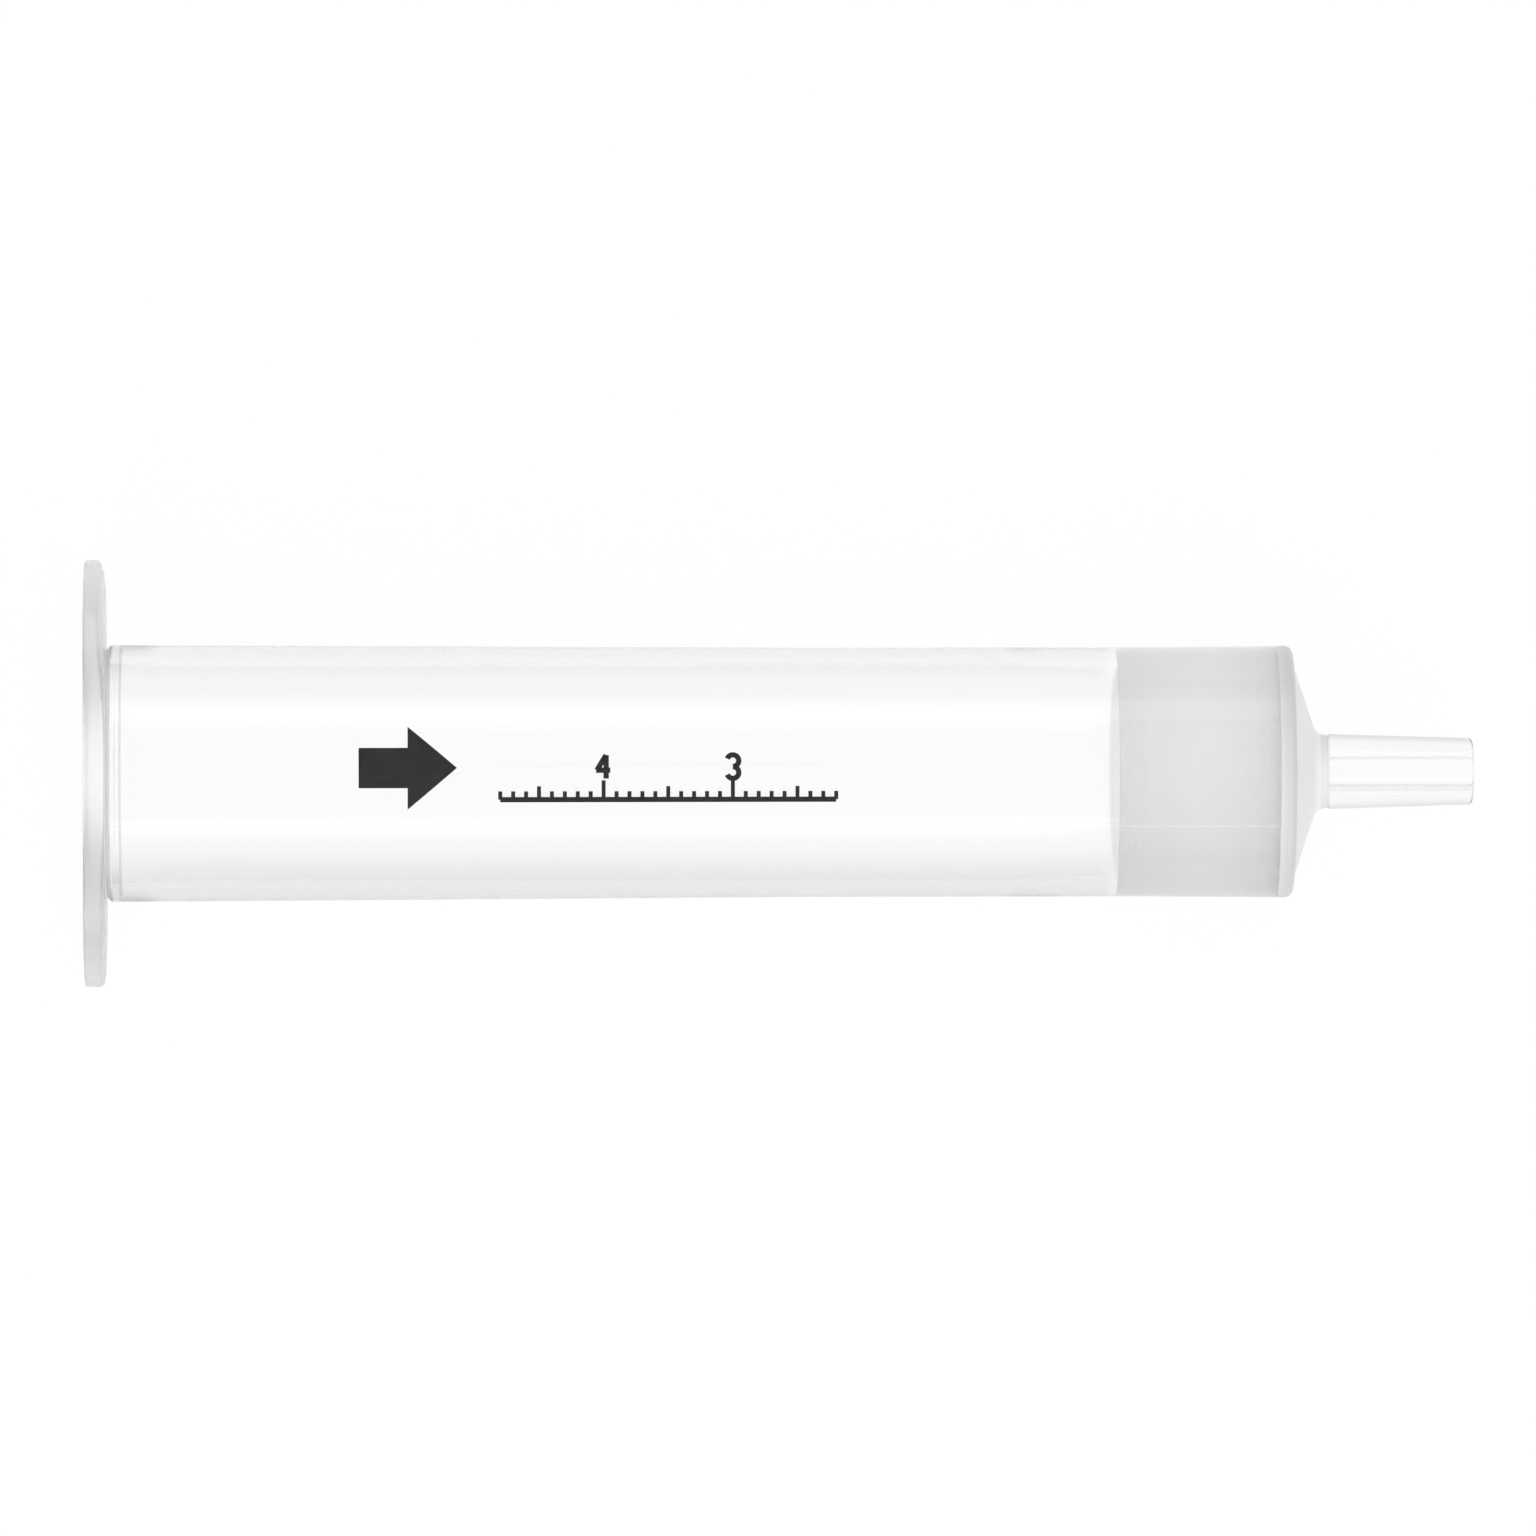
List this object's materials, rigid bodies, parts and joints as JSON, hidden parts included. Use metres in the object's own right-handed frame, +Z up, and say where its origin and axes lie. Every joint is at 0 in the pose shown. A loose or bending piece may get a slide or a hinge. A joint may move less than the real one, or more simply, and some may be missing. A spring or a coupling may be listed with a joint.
{
  "type": "solid phase extraction cartridge",
  "caption": "Moulded plastic syringe-barrel cartridge with a clipped flange, a sorbent bed held between porous discs, and a luer tip outlet.",
  "frame": {"origin": "centre of the mouth face, on the axis", "axes": "+X along the axis from the mouth to the luer tip, +Z up out of the upper flat of the flange as the cartridge lies on its side, +Y along the flange's wings"},
  "size_m": [0.0826, 0.0254, 0.0176],
  "materials": {
    "barrel": "natural translucent polypropylene, satin on the barrel and funnel, polished and clear on the luer tip",
    "frit": "sintered porous polyethylene, matt",
    "sorbent": "packed fine silica-based powder, matt"
  },
  "bodies": {
    "root": {"barrel": "barrel", "upper_frit": "frit", "sorbent_bed": "sorbent", "lower_frit": "frit"}
  },
  "joints": []
}
